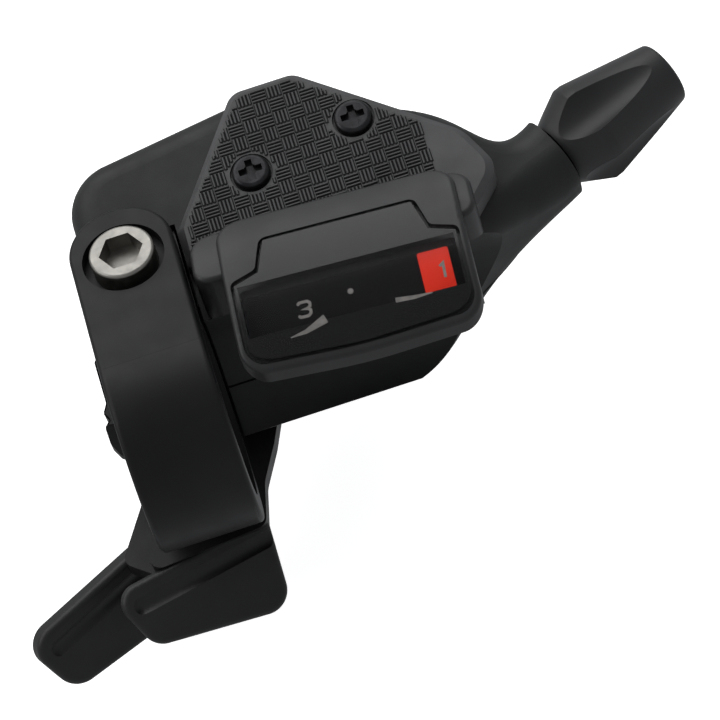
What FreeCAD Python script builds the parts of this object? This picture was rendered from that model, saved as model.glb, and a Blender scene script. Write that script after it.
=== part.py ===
"""Three-speed trigger shifter for the left end of a bicycle handlebar.

Frame, in millimetres: the origin is the centre of the clamp's bore, +X runs along the handlebar
towards the cable adjuster, +Y points forwards and +Z is square to the top cover. The clamp, its bolt
and the gear display lean forwards by CLAMP_TILT about X, so they are drawn upright and then tilted.
"""
import FreeCAD
import Part
import math
import os

V = FreeCAD.Vector
ORIGIN = V(0, 0, 0)
X_AXIS = V(1, 0, 0)
Z_AXIS = V(0, 0, 1)

# Handlebar and clamp band
BAR_RADIUS = 11.1
BAR_GAP = 0.45
CLAMP_TILT = 12.0
BAND_WIDTH = 13.5
BAND_WALL = 3.4
BAND_GAP = 0.35
BAND_SLIT = 1.8
BAND_EDGE = 0.7
LOWER_LUG = 5.2
LOWER_LUG_REACH = 6.2
UPPER_LUG_REACH = 8.4

# Clamp bolt
BOLT_OFFSET = 17.0
BOLT_HEAD_RADIUS = 4.2
BOLT_HEAD_HEIGHT = 3.0
BOLT_RADIUS = 2.45
BOLT_HOLE_GAP = 0.3
BOLT_SEAT_DEPTH = 1.7
BOLT_SEAT_GAP = 1.1
HEX_ACROSS_FLATS = 5.0
HEX_DEPTH = 2.4

# Levels of the body
ROOF_Z = 5.0
SEAM_Z = -8.6
SEAM_END = 50.0
FLOOR_Z = -12.0
ROOF_WALL = 1.8
SIDE_WALL = 1.8
FLOOR_WALL = 1.5
BODY_EDGE = 4.0
BODY_FOOT = 0.6
FIT_GAP = 0.3
RUN_GAP = 0.05

# Plan of the body: left end, front apex and where the neck flare begins
BODY_LEFT = -5.6
BODY_FRONT_LEFT = 37.2
BODY_APEX_LEFT = 20.0
BODY_APEX_RIGHT = 27.6
BODY_FRONT = 40.9
FLARE_START = 31.0
FLARE_FRONT = 37.45
BODY_REAR = 1.7

# Two stations of the flare, each with its place along the bar, rear and front
SHOULDER_X = 37.0
SHOULDER_REAR = 5.3
SHOULDER_FRONT = 33.7
THROAT_X = 44.7
THROAT_REAR = 10.9
THROAT_FRONT = 29.3
THROAT_SINK = 0.9

# Space for the mechanism
SPACE_RIGHT = 41.0
SPACE_RIGHT_FRONT = 32.9
SPACE_RIGHT_REAR = 7.0
SPACE_REAR = 2.0

# Ear of the lower cover beside the clamp's ring
EAR_TIP = -9.5
EAR_REAR = 4.0
EAR_ROOT = 15.4

# Neck for the cable adjuster
NECK_X = 55.9
NECK_Y = 21.6
NECK_Z = -3.0
NECK_TURN = 22.5
NECK_RADIUS = 5.3
NECK_BORE = 3.0

# Barrel adjuster
BARREL_LENGTH = 18.5
BARREL_WAIST = 4.4
BARREL_BELLY = 6.9
BARREL_BELLY_AT = 5.0
BARREL_TIP = 4.3
BARREL_GAP = 0.5
BARREL_FLUTES = 4
FLUTE_RADIUS = 4.0
FLUTE_AT = 8.8
FLUTE_TURN = 6.0
BARREL_EDGE = 0.6
BARREL_SHANK = 8.0
CABLE_BORE = 1.1
CABLE_RUN = 24.0
CASING_BORE = 2.6
CASING_DEPTH = 9.0

# Top cover
COVER_HEIGHT = 3.0
COVER_DRAFT = 0.9
COVER_REAR = 17.2
COVER_LEFT = 7.2
COVER_CHEEK = 22.5
COVER_APEX_LEFT = 18.9
COVER_APEX_RIGHT = 27.2
COVER_FRONT = 39.5
COVER_SHOULDER = (45.4, 24.0)
COVER_NOSE = (48.2, 17.6)
COVER_TAIL = (43.2, 12.0)
COVER_NOTCH = 36.5
SCREW_HEAD_RADIUS = 2.45
SCREW_HEAD_HEIGHT = 1.3
SCREW_RADIUS = 1.25
SCREW_LENGTH = 5.0
SCREW_SINK = 0.5
CROSS_WIDTH = 0.9
CROSS_WELL = 0.85
CROSS_DEPTH = 0.8
COVER_SCREWS = [(18.4, 27.0), (32.8, 30.0)]
LOWER_SCREWS = [(-1.6, 32.0), (-1.6, 19.0), (42.0, 20.0)]

# Display pod, in the tilted frame
POD_TOP = 16.2
POD_ARC = 30.0
POD_CREST = 3.6
POD_CENTRE_X = 26.2
POD_CENTRE_Y = 4.4
POD_WIDTH = 30.6
POD_DEPTH = 22.4
POD_TURN = -4.5
POD_BOW = 0.7
POD_OVERHANG = 2.3
POD_LIP = 1.8
POD_EDGE = 0.7
POD_RIM = 0.9
POD_CORNER = 3.4
POD_FLOOR = 0.5
POD_EAR_DROP = 1.0
POD_EAR_REAR = 2.6
POD_EAR_FRONT = 10.8
LEFT_EAR_OUT = 3.6
RIGHT_EAR_OUT = 1.9
LENS_THICKNESS = 1.0
LENS_GAP = 0.1
LENS_SHOULDER = 0.4
TAB_HALF = 10.2
TAB_REACH = 6.4
DIAL_THICKNESS = 0.35
POINTER_WIDTH = 3.9
POINTER_DEPTH = 5.4
POINTER_HEIGHT = 0.6
POINTER_END_GAP = 1.15
POINTER_TRAVEL = 17.2
WINDOW_STEP = 0.7
WINDOW_DEPTH = 6.9

# Main pivot
AXLE_X = 13.0
AXLE_Y = 24.0
AXLE_RADIUS = 2.0
AXLE_BOSS = 2.9
SLEEVE_WALL = 1.55
NUT_HEIGHT = 2.4
NUT_ACROSS_FLATS = 8.0
WASHER_RADIUS = 4.6
WASHER_HEIGHT = 0.6

# Cable drum, ratchet and pawls
DRUM_TOP = -2.1
DRUM_HEIGHT = 2.4
DRUM_RADIUS = 9.2
DRUM_GROOVE = 0.8
RATCHET_HEIGHT = 1.5
RATCHET_RADIUS = 8.3
RATCHET_TOOTH = 1.1
RATCHET_TEETH = 16
CARRIER_HEIGHT = 1.0
CARRIER_HUB = 6.2
CARRIER_ARM = 2.2
BASE_HEIGHT = 1.5
PAWL_REACH = 12.4
PAWL_EYE = 2.0
PAWL_PIN = 1.0
PAWL_LEAD = 22.0
DRIVE_PAWL_AT = 15.0
HOLDING_PAWL_AT = 60.0

# Springs
WIRE = 0.6
RELEASE_WIRE = 0.8
SPRING_ROOM = 2.9
SPRING_GAP = 0.15

# Levers
LEVER_GAP = 0.5
RELEASE_ARM_HEIGHT = 2.6
RELEASE_HUB = 6.6
RELEASE_COLLAR = 1.5
HUB_BLEND = 3.0
PULL_GAP = 2.1
PULL_ARM_HEIGHT = 3.0
PULL_HUB = 7.0
PAD_THICKNESS = 2.4
PAD_EDGE = 0.9
CREASE_RADIUS = 1.6
CREASE_DEPTH = 0.45
CREASE_AT = 3.0
CREASE_END_GAP = 3.4
RELEASE_PAD_SLOPE = 27.0
PULL_PAD_SLOPE = 52.0
RELEASE_ARM_PLAN = [(-5.5, -4.0, 6.0), (-11.0, -11.0, 1.5), (6.4, -9.5, 1.5), (7.8, -3.6, 4.0),
                    (10.4, 1.2, 4.0)]
RELEASE_RIDGE = [(6.8, -7.9), (-15.6, -12.4)]
RELEASE_PAD_DEPTH = (12.3, 8.4)
PULL_ARM_PLAN = [(-8.2, 1.5, 8.0), (-13.0, -6.2, 1.5), (-9.0, -9.5, 1.5), (2.0, -6.0, 6.0)]
PULL_RIDGE = [(-6.0, -2.2), (-27.9, -13.2)]
PULL_RIDGE_DROP = 1.0
PULL_PAD_DEPTH = (12.0, 9.6)


def rounded_wire(corners, z=0.0):
    """Closed outline of straight runs and tangent arcs. A corner is (x, y, radius), sharp at radius 0."""
    count = len(corners)
    points = [V(x, y, z) for x, y, _ in corners]
    arcs = []
    for i, corner in enumerate(points):
        back = (points[i - 1] - corner).normalize()
        ahead = (points[(i + 1) % count] - corner).normalize()
        half = back.getAngle(ahead) / 2
        radius = corners[i][2]
        reach = radius / math.tan(half)
        middle = (back + ahead).normalize()
        crown = corner + middle * (radius / math.sin(half) - radius)
        arcs.append((corner + back * reach, crown, corner + ahead * reach))
    edges = []
    for i, (start, crown, end) in enumerate(arcs):
        if (end - start).Length > 1e-6:
            edges.append(Part.Arc(start, crown, end).toShape())
        following = arcs[(i + 1) % count][0]
        if (following - end).Length > 1e-6:
            edges.append(Part.LineSegment(end, following).toShape())
    return Part.Wire(edges)


def prism(corners, low, high):
    """Rounded outline extruded from one level to another."""
    return Part.Face(rounded_wire(corners, low)).extrude(V(0, 0, high - low))


def block(x0, x1, y0, y1, z0, z1):
    return Part.makeBox(x1 - x0, y1 - y0, z1 - z0, V(x0, y0, z0))


def rod(radius, start, end):
    """Cylinder between two points."""
    along = end - start
    return Part.makeCylinder(radius, along.Length, start, along)


def bar_rod(radius, x0, x1):
    """Cylinder about the handlebar's axis."""
    return rod(radius, V(x0, 0, 0), V(x1, 0, 0))


def post(radius, x, y, low, high):
    return rod(radius, V(x, y, low), V(x, y, high))


def tilted(shape):
    """From the upright frame of the clamp and the pod to the frame of the part."""
    return shape.rotated(ORIGIN, X_AXIS, -CLAMP_TILT)


def filleted(shape, radius, wanted):
    """Fillet of every edge that the test picks."""
    edges = [edge for edge in shape.Edges if wanted(edge)]
    return shape.makeFillet(radius, edges)


BAND_RADIUS = BAR_RADIUS + BAND_WALL
SADDLE_RADIUS = BAR_RADIUS + BAR_GAP
FAR = 120.0


def clamp_band():
    """Split ring with a long strap over the bolt and a tapped lug below it."""
    half = BAND_WIDTH / 2
    tip = BOLT_OFFSET + UPPER_LUG_REACH
    slit_low = BAR_RADIUS - BAND_SLIT
    ring = bar_rod(BAND_RADIUS, -half, half)
    rims = [edge for edge in ring.Edges if abs(edge.CenterOfMass.x) > half - 0.01]
    ring = ring.makeFillet(BAND_EDGE, rims)
    strap = prism([(-half, 0, 0.01), (half, 0, 0.01), (half, tip, half - 0.2), (-half, tip, half - 0.2)],
                  BAR_RADIUS, BAND_RADIUS)
    strap = filleted(strap, BAND_EDGE, lambda edge: edge.CenterOfMass.z > BAND_RADIUS - 0.01
                     and edge.CenterOfMass.y > 0.1)
    lug_front = BOLT_OFFSET + LOWER_LUG_REACH
    lug = block(-half, half, BAR_RADIUS * 0.6, lug_front, slit_low - LOWER_LUG, slit_low)
    band = ring.fuse(strap).fuse(lug)
    band = band.cut(block(-half, half, 0, FAR, slit_low, BAR_RADIUS))
    band = band.cut(bar_rod(BAR_RADIUS, -FAR, FAR)).removeSplitter()
    hole = BOLT_RADIUS + BOLT_HOLE_GAP
    band = band.cut(post(hole, 0, BOLT_OFFSET, BAR_RADIUS - 1, FAR))
    seat = BOLT_HEAD_RADIUS + BOLT_SEAT_GAP
    band = band.cut(post(seat, 0, BOLT_OFFSET, BAND_RADIUS - BOLT_SEAT_DEPTH, FAR))
    band = band.cut(post(BOLT_RADIUS + RUN_GAP, 0, BOLT_OFFSET, -FAR, BAR_RADIUS))
    return tilted(band)


def hexagon(across_flats, z):
    radius = across_flats / math.sqrt(3)
    points = [V(radius * math.cos(math.radians(a)), radius * math.sin(math.radians(a)), z)
              for a in range(0, 360, 60)]
    return Part.Face(Part.makePolygon(points + points[:1]))


def clamp_bolt():
    """Socket head bolt that pulls the strap down on the tapped lug."""
    seat = BAND_RADIUS - BOLT_SEAT_DEPTH
    top = seat + BOLT_HEAD_HEIGHT
    head = post(BOLT_HEAD_RADIUS, 0, 0, seat, top)
    head = filleted(head, 0.45, lambda edge: abs(edge.CenterOfMass.z - top) < 0.01)
    head = head.cut(hexagon(HEX_ACROSS_FLATS, top - HEX_DEPTH).extrude(V(0, 0, HEX_DEPTH + 1)))
    shank = post(BOLT_RADIUS, 0, 0, BAR_RADIUS - BAND_SLIT - LOWER_LUG, seat)
    bolt = head.fuse(shank).removeSplitter()
    return tilted(bolt.translated(V(0, BOLT_OFFSET, 0)))


def body_plan():
    """Plan of the housing up to the start of the flare."""
    return [(BODY_LEFT, BODY_REAR, 1.0), (BODY_LEFT, BODY_FRONT_LEFT, 7.0),
            (BODY_APEX_LEFT, BODY_FRONT, 6.0), (BODY_APEX_RIGHT, BODY_FRONT - 0.8, 4.5),
            (FLARE_START, FLARE_FRONT, 0), (FLARE_START, BODY_REAR, 0)]


def flare_section(x, y0, y1, z0, z1, corner, edge):
    """Rounded rectangle across the body at one X."""
    flat = rounded_wire([(y0, z0, edge), (y1, z0, edge), (y1, z1, corner), (y0, z1, edge)])
    return flat.transformGeometry(FreeCAD.Matrix(0, 0, 1, x, 1, 0, 0, 0, 0, 1, 0, 0))


def neck_axis():
    turn = math.radians(NECK_TURN)
    return V(math.cos(turn), math.sin(turn), 0)


def neck_point(ahead):
    """Point on the neck's axis, measured from its mouth."""
    return V(NECK_X, NECK_Y, NECK_Z) + neck_axis() * ahead


def neck_section(back, radius):
    """Rounded section across the neck, a distance back from its mouth."""
    corner = radius * 0.85
    flat = rounded_wire([(-radius, -radius, corner), (radius, -radius, corner),
                         (radius, radius, corner), (-radius, radius, corner)])
    stood = flat.transformGeometry(FreeCAD.Matrix(0, 0, 1, 0, 1, 0, 0, 0, 0, 1, 0, 0))
    return stood.rotated(ORIGIN, Z_AXIS, NECK_TURN).translated(neck_point(-back))


def flare():
    """Body drawing in from the housing to the round neck."""
    sections = [flare_section(FLARE_START, BODY_REAR, FLARE_FRONT, FLOOR_Z, ROOF_Z, BODY_EDGE, BODY_FOOT),
                flare_section(SHOULDER_X, SHOULDER_REAR, SHOULDER_FRONT, FLOOR_Z + THROAT_SINK * 0.15,
                              ROOF_Z - THROAT_SINK * 0.15, BODY_EDGE + 0.4, BODY_FOOT * 2),
                flare_section(THROAT_X, THROAT_REAR, THROAT_FRONT, FLOOR_Z + THROAT_SINK,
                              ROOF_Z - THROAT_SINK, BODY_EDGE + 1, 3.2),
                neck_section(4.5, NECK_RADIUS + 0.4), neck_section(0, NECK_RADIUS)]
    return Part.makeLoft(sections, True, False)


def body_envelope():
    """Outside of the housing and of the lower cover together, before the saddle is cut."""
    solid = prism(body_plan(), FLOOR_Z, ROOF_Z)

    def top_edge(edge):
        middle = edge.valueAt((edge.FirstParameter + edge.LastParameter) / 2)
        outside = middle.x < BODY_LEFT + 3 or middle.y > FLARE_FRONT + 0.3
        return abs(middle.z - ROOF_Z) < 0.01 and outside and middle.y > BODY_REAR + 2

    def foot_edge(edge):
        return abs(edge.CenterOfMass.z - FLOOR_Z) < 0.01 and edge.CenterOfMass.x < FLARE_START - 0.1

    solid = filleted(solid, BODY_EDGE, top_edge)
    solid = filleted(solid, BODY_FOOT, foot_edge)
    return solid.fuse(flare()).removeSplitter()


def saddle_cut(shape):
    """Room for the handlebar and for the clamp's ring."""
    half = BAND_WIDTH / 2 + BAND_GAP
    shape = shape.cut(bar_rod(SADDLE_RADIUS, -FAR, FAR))
    return shape.cut(bar_rod(BAND_RADIUS + BAND_GAP, -half, half))


def cavity(inset, left, low, high):
    """Space for the mechanism, drawn in from the walls and kept off the handlebar saddle."""
    wall = SIDE_WALL + inset
    right = SPACE_RIGHT - inset
    plan = [(left + inset, SPACE_REAR + wall, 1.0), (left + inset, BODY_FRONT_LEFT - 1.5 - wall, 6.0),
            (BODY_APEX_LEFT, BODY_FRONT - 0.4 - wall, 4.0),
            (BODY_APEX_RIGHT - 1.2, BODY_FRONT - 0.6 - wall, 4.0),
            (right, SPACE_RIGHT_FRONT - wall, 3.0), (right, SPACE_RIGHT_REAR + wall, 3.0),
            (FLARE_START, SPACE_REAR + wall, 3.0)]
    space = prism(plan, low, high)
    thin = SIDE_WALL * 0.55 + inset
    half = BAND_WIDTH / 2 + BAND_GAP + thin
    space = space.cut(bar_rod(SADDLE_RADIUS + wall, -FAR, FAR))
    return space.cut(bar_rod(BAND_RADIUS + BAND_GAP + thin, -half, half))


CAVITY_LEFT = BAND_WIDTH / 2 + BAND_GAP + SIDE_WALL
DRUM_SPACE_LEFT = AXLE_X - DRUM_RADIUS - 0.8
DRUM_SPACE_TOP = DRUM_TOP + 0.5
DRUM_BASE = DRUM_TOP - DRUM_HEIGHT
RATCHET_BASE = DRUM_BASE - RATCHET_HEIGHT
CARRIER_TOP = RATCHET_BASE - FIT_GAP
CARRIER_BASE = CARRIER_TOP - CARRIER_HEIGHT
BASE_LOW = FLOOR_Z + FLOOR_WALL
BASE_TOP = BASE_LOW + BASE_HEIGHT
SLEEVE_BORE = AXLE_RADIUS + RUN_GAP
SLEEVE_RADIUS = SLEEVE_BORE + SLEEVE_WALL
COVER_TOP = ROOF_Z + COVER_HEIGHT
COVER_SCREW_TIP = COVER_TOP - SCREW_SINK - SCREW_LENGTH
RELEASE_TOP = FLOOR_Z - LEVER_GAP
RELEASE_ARM_TOP = min(-BAND_RADIUS - LEVER_GAP, FLOOR_Z - SPRING_ROOM)
RELEASE_LOW = RELEASE_ARM_TOP - RELEASE_ARM_HEIGHT
PULL_TOP = RELEASE_LOW - PULL_GAP
PULL_LOW = PULL_TOP - PULL_ARM_HEIGHT


def upper_housing(envelope):
    """Main shell with the saddle, the lug pocket, the mechanism space and the adjuster's neck."""
    above = block(-FAR, FAR, -FAR, FAR, SEAM_Z, FAR).fuse(block(SEAM_END, FAR, -FAR, FAR, -FAR, FAR))
    shell = saddle_cut(envelope).common(above)
    boss = post(AXLE_BOSS, AXLE_X, AXLE_Y, DRUM_TOP + 0.7, ROOF_Z)
    upper = cavity(0, CAVITY_LEFT, DRUM_SPACE_TOP - 0.1, ROOF_Z - ROOF_WALL).cut(boss)
    for x, y in COVER_SCREWS:
        upper = upper.cut(post(SCREW_RADIUS + 1, x, y, COVER_SCREW_TIP - 0.8, ROOF_Z))
    shell = shell.cut(upper)
    shell = shell.cut(cavity(0, DRUM_SPACE_LEFT, SEAM_Z - 1, DRUM_SPACE_TOP).cut(boss))
    half = BAND_WIDTH / 2 + BAND_GAP
    lug_low = BAR_RADIUS - BAND_SLIT - LOWER_LUG
    shell = shell.cut(tilted(block(-half, half, 0, BOLT_OFFSET + LOWER_LUG_REACH + FIT_GAP, lug_low, FAR)))
    shell = shell.cut(post(AXLE_RADIUS, AXLE_X, AXLE_Y, -FAR, ROOF_Z - 1.2))
    for x, y in COVER_SCREWS:
        shell = shell.cut(post(SCREW_RADIUS, x, y, COVER_SCREW_TIP, FAR))
    for x, y in LOWER_SCREWS:
        shell = shell.cut(post(SCREW_RADIUS, x, y, SEAM_Z - 1, lower_screw_tip()))
    shell = shell.cut(rod(NECK_BORE, neck_point(-BARREL_SHANK - FIT_GAP), neck_point(1)))
    return shell.cut(rod(CABLE_BORE, neck_point(-CABLE_RUN), neck_point(1)))


def lower_screw_seat():
    return FLOOR_Z + SCREW_HEAD_HEIGHT + 0.2


def lower_screw_tip():
    return lower_screw_seat() + SCREW_LENGTH


def side_ear():
    """Two-lobed ear that reaches back past the outer face of the clamp's ring."""
    inner = -BAND_WIDTH / 2 - 2 * BAND_GAP
    plan = [(inner, EAR_REAR, 0.3), (EAR_TIP + 0.9, EAR_REAR, 0.6), (EAR_TIP, EAR_REAR + 1.8, 0.7),
            (EAR_TIP, EAR_REAR + 3.6, 0.6), (EAR_TIP + 0.9, EAR_REAR + 4.3, 0.3),
            (EAR_TIP + 0.3, EAR_REAR + 5.5, 0.4), (EAR_TIP + 1, EAR_REAR + 6.8, 0.5),
            (EAR_TIP + 1, EAR_ROOT + 2, 0.6), (BODY_LEFT + 1, EAR_ROOT + 2, 0.1),
            (BODY_LEFT + 1, EAR_ROOT, 0.1), (inner, EAR_ROOT, 0.3)]
    return prism(plan, FLOOR_Z, SEAM_Z)


def lower_cover(envelope):
    """Dish that closes the housing from below and carries the base plate."""
    dish = envelope.common(block(-FAR, SEAM_END, -FAR, FAR, -FAR, SEAM_Z))
    dish = saddle_cut(dish.fuse(side_ear()).removeSplitter())
    dish = dish.cut(cavity(0, DRUM_SPACE_LEFT, BASE_LOW, SEAM_Z + 1))
    dish = dish.cut(post(SLEEVE_RADIUS + FIT_GAP, AXLE_X, AXLE_Y, -FAR, FAR))
    for x, y in LOWER_SCREWS:
        dish = dish.cut(post(SCREW_RADIUS + 0.1, x, y, -FAR, FAR))
        dish = dish.cut(post(SCREW_HEAD_RADIUS + 0.2, x, y, -FAR, lower_screw_seat()))
    return dish


def base_plate():
    """Pressed steel plate on the floor of the lower cover."""
    plate = cavity(FIT_GAP, DRUM_SPACE_LEFT, BASE_LOW, BASE_TOP)
    plate = plate.cut(post(SLEEVE_RADIUS + FIT_GAP, AXLE_X, AXLE_Y, -FAR, FAR))
    at = around_axle(PAWL_REACH, HOLDING_PAWL_AT)
    return plate.cut(post(PAWL_PIN, at.x, at.y, -FAR, FAR))


def cover_outline(inset, z):
    """Plan of the top cover: straight left edge, blunt apex, long slope and a rounded nose."""
    slope = inset * 1.1
    front = COVER_FRONT - inset
    return rounded_wire([(COVER_LEFT + inset, COVER_REAR + inset, 0.6),
                         (COVER_LEFT + slope, COVER_CHEEK, 1.2),
                         (COVER_APEX_LEFT + inset * 0.5, front, 2.6),
                         (COVER_APEX_RIGHT - inset * 0.3, front, 2.6),
                         (COVER_SHOULDER[0] - slope * 0.8, COVER_SHOULDER[1] - slope * 0.6, 6.0),
                         (COVER_NOSE[0] - slope, COVER_NOSE[1], 3.0),
                         (COVER_TAIL[0] - inset * 0.3, COVER_TAIL[1] + slope, 1.2),
                         (COVER_NOTCH - inset * 0.3, COVER_REAR + inset, 0.6)], z)


def cover_blank(envelope):
    """Bevelled slab seated on the housing, before its screw holes."""
    low = ROOF_Z - COVER_HEIGHT
    knee = COVER_TOP - COVER_DRAFT
    slab = Part.Face(cover_outline(0, low)).extrude(V(0, 0, knee - low))
    bevel = Part.makeLoft([cover_outline(0, knee), cover_outline(COVER_DRAFT, COVER_TOP)], True, True)
    return slab.fuse(bevel).removeSplitter().cut(envelope)


def top_cover(envelope):
    cover = cover_blank(envelope)
    for x, y in COVER_SCREWS:
        cover = cover.cut(post(SCREW_RADIUS + 0.1, x, y, -FAR, FAR))
        cover = cover.cut(post(SCREW_HEAD_RADIUS + 0.3, x, y, COVER_TOP - SCREW_SINK, FAR))
    return cover


def pan_screw(x, y, seat, up):
    """Cross recess pan head screw. Its head lies above the seat, or below it when up is -1."""
    top = SCREW_HEAD_HEIGHT
    head = post(SCREW_HEAD_RADIUS, 0, 0, 0, top)
    head = filleted(head, 0.6, lambda edge: abs(edge.CenterOfMass.z - top) < 0.01)
    reach = SCREW_HEAD_RADIUS * 0.62
    half = CROSS_WIDTH / 2
    head = head.cut(block(-reach, reach, -half, half, top - CROSS_DEPTH, top + 1))
    head = head.cut(block(-half, half, -reach, reach, top - CROSS_DEPTH, top + 1))
    head = head.cut(post(CROSS_WELL, 0, 0, top - CROSS_DEPTH, top + 1))
    screw = head.fuse(post(SCREW_RADIUS, 0, 0, -SCREW_LENGTH, 0)).removeSplitter()
    if up < 0:
        screw = screw.rotated(ORIGIN, X_AXIS, 180)
    return screw.translated(V(x, y, seat))


def cover_screws():
    return Part.makeCompound([pan_screw(x, y, COVER_TOP - SCREW_SINK, 1) for x, y in COVER_SCREWS])


def lower_cover_screws():
    return Part.makeCompound([pan_screw(x, y, lower_screw_seat(), -1) for x, y in LOWER_SCREWS])


def pod_placed(shape):
    """From the display's own plan to the frame of the part."""
    turned = shape.rotated(ORIGIN, Z_AXIS, POD_TURN)
    return tilted(turned.translated(V(POD_CENTRE_X, POD_CENTRE_Y, 0)))


def pod_curve(depth):
    """Round body whose crown is the pod's curved top, or lies a depth below it."""
    centre = POD_TOP - POD_ARC
    return rod(POD_ARC - depth, V(-FAR, POD_CREST, centre), V(FAR, POD_CREST, centre))


def pod_layer(plan, upper, lower):
    """Plan extruded between two depths below the pod's curved top."""
    return prism(plan, 0, FAR).common(pod_curve(upper)).cut(pod_curve(lower))


def crown_rounded(shape, depth, radius):
    """Fillet of the edges that lie on the curve at one depth."""
    def on_crown(edge):
        middle = edge.valueAt((edge.FirstParameter + edge.LastParameter) / 2)
        away = math.hypot(middle.y - POD_CREST, middle.z - POD_TOP + POD_ARC)
        return abs(away - POD_ARC + depth) < 0.01

    return filleted(shape, radius, on_crown)


def lens_plan(grow):
    """Wide window with a raised tab and a bowed rear edge, in the display's own plan."""
    half = POD_WIDTH / 2 - POD_RIM + grow
    low = -POD_DEPTH / 2 + POD_RIM - grow
    tab = TAB_HALF + grow
    return [(-half, low, POD_CORNER - POD_RIM), (0, low - POD_BOW, 90), (half, low, POD_CORNER - POD_RIM),
            (half, LENS_SHOULDER + grow, 1.0), (tab + 0.8, LENS_SHOULDER + 1.2 + grow, 1.0),
            (tab - 0.4, TAB_REACH + grow, 1.2), (-tab + 0.4, TAB_REACH + grow, 1.2),
            (-tab - 0.8, LENS_SHOULDER + 1.2 + grow, 1.0), (-half, LENS_SHOULDER + grow, 1.0)]


POINTER_OVER = LENS_THICKNESS + FIT_GAP
POINTER_UNDER = POINTER_OVER + POINTER_HEIGHT
DIAL_OVER = POINTER_UNDER + FIT_GAP
DIAL_UNDER = DIAL_OVER + DIAL_THICKNESS
WINDOW_FRONT = LENS_SHOULDER - WINDOW_STEP
WINDOW_REAR = WINDOW_FRONT - WINDOW_DEPTH


def window_plan(inset):
    """Well under the lens for the dial and the pointer."""
    half = POD_WIDTH / 2 - POD_RIM - WINDOW_STEP - inset
    front = WINDOW_FRONT - inset
    rear = WINDOW_REAR + inset
    return [(-half, rear, 0.6), (half, rear, 0.6), (half, front, 0.6), (-half, front, 0.6)]


def pod_block():
    """Outside of the pod: a bowed block with an ear at each end, curved over its top."""
    half = POD_WIDTH / 2
    deep = POD_DEPTH / 2
    plan = [(-half, -deep, POD_CORNER), (0, -deep - POD_BOW, 90), (half, -deep, POD_CORNER),
            (half, deep, POD_CORNER), (-half, deep, POD_CORNER)]
    pod = prism(plan, 0, FAR).common(pod_curve(0))
    left = -half - LEFT_EAR_OUT
    right = half + RIGHT_EAR_OUT
    ears = prism([(left, POD_EAR_REAR, 2.2), (right, POD_EAR_REAR, 2.2), (right, POD_EAR_FRONT, 3.0),
                  (left, POD_EAR_FRONT, 3.0)], 0, FAR).common(pod_curve(POD_EAR_DROP))
    return crown_rounded(pod, 0, POD_EDGE).fuse(crown_rounded(ears, POD_EAR_DROP, POD_EDGE))


def pod_relief(front, depth):
    """All that lies behind a line and deeper than a depth below the pod's top."""
    return block(-FAR, FAR, -FAR, front, -FAR, FAR).common(pod_curve(depth))


def indicator_bezel(envelope, cover):
    """Display pod hollowed for the dial, thinned to a lip over the bar and seated on the housing."""
    pod = pod_block()
    pod = pod.cut(pod_relief(POD_OVERHANG, DIAL_UNDER + POD_FLOOR))
    pod = pod.cut(pod_relief(WINDOW_REAR - POD_RIM, POD_LIP))
    pod = pod.cut(prism(lens_plan(LENS_GAP), 0, FAR).cut(pod_curve(LENS_THICKNESS)))
    pod = pod.cut(prism(window_plan(0), 0, FAR).cut(pod_curve(DIAL_UNDER)))
    pod = pod_placed(pod).cut(bar_rod(SADDLE_RADIUS, -FAR, FAR))
    pod = pod.cut(block(-FAR, FAR, -FAR, FAR, -FAR, ROOF_Z))
    return pod.cut(envelope).cut(cover)


def indicator_lens():
    lens = pod_layer(lens_plan(0), 0, LENS_THICKNESS)
    return pod_placed(crown_rounded(lens, 0, 0.3))


def indicator_dial():
    return pod_placed(pod_layer(window_plan(LENS_GAP), DIAL_OVER, DIAL_UNDER))


def indicator_slider():
    """Red pointer block at first gear."""
    rear = WINDOW_REAR + (WINDOW_DEPTH - POINTER_DEPTH) / 2
    front = rear + POINTER_DEPTH
    right = POD_WIDTH / 2 - POD_RIM - WINDOW_STEP - POINTER_END_GAP
    left = right - POINTER_WIDTH
    plan = [(left, rear, 0.3), (right, rear, 0.3), (right, front, 0.3), (left, front, 0.3)]
    return pod_placed(pod_layer(plan, POINTER_OVER, POINTER_UNDER))


def around_axle(radius, degrees):
    """Point at a radius and bearing from the main pivot."""
    turn = math.radians(degrees)
    return V(AXLE_X + radius * math.cos(turn), AXLE_Y + radius * math.sin(turn), 0)


def axle_ring(outer, inner, low, high):
    return post(outer, AXLE_X, AXLE_Y, low, high).cut(post(inner, AXLE_X, AXLE_Y, low - 1, high + 1))


def pivot_axle():
    return post(AXLE_RADIUS, AXLE_X, AXLE_Y, nut_low() - 0.6, ROOF_Z - 1.2)


def nut_low():
    return washer_low() - NUT_HEIGHT


def washer_low():
    return PULL_LOW - FIT_GAP - WASHER_HEIGHT


def axle_washer():
    return axle_ring(WASHER_RADIUS, AXLE_RADIUS, washer_low(), washer_low() + WASHER_HEIGHT)


def axle_nut():
    nut = hexagon(NUT_ACROSS_FLATS, nut_low()).extrude(V(0, 0, NUT_HEIGHT)).translated(V(AXLE_X, AXLE_Y, 0))
    return nut.cut(post(AXLE_RADIUS, AXLE_X, AXLE_Y, -FAR, FAR))


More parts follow.
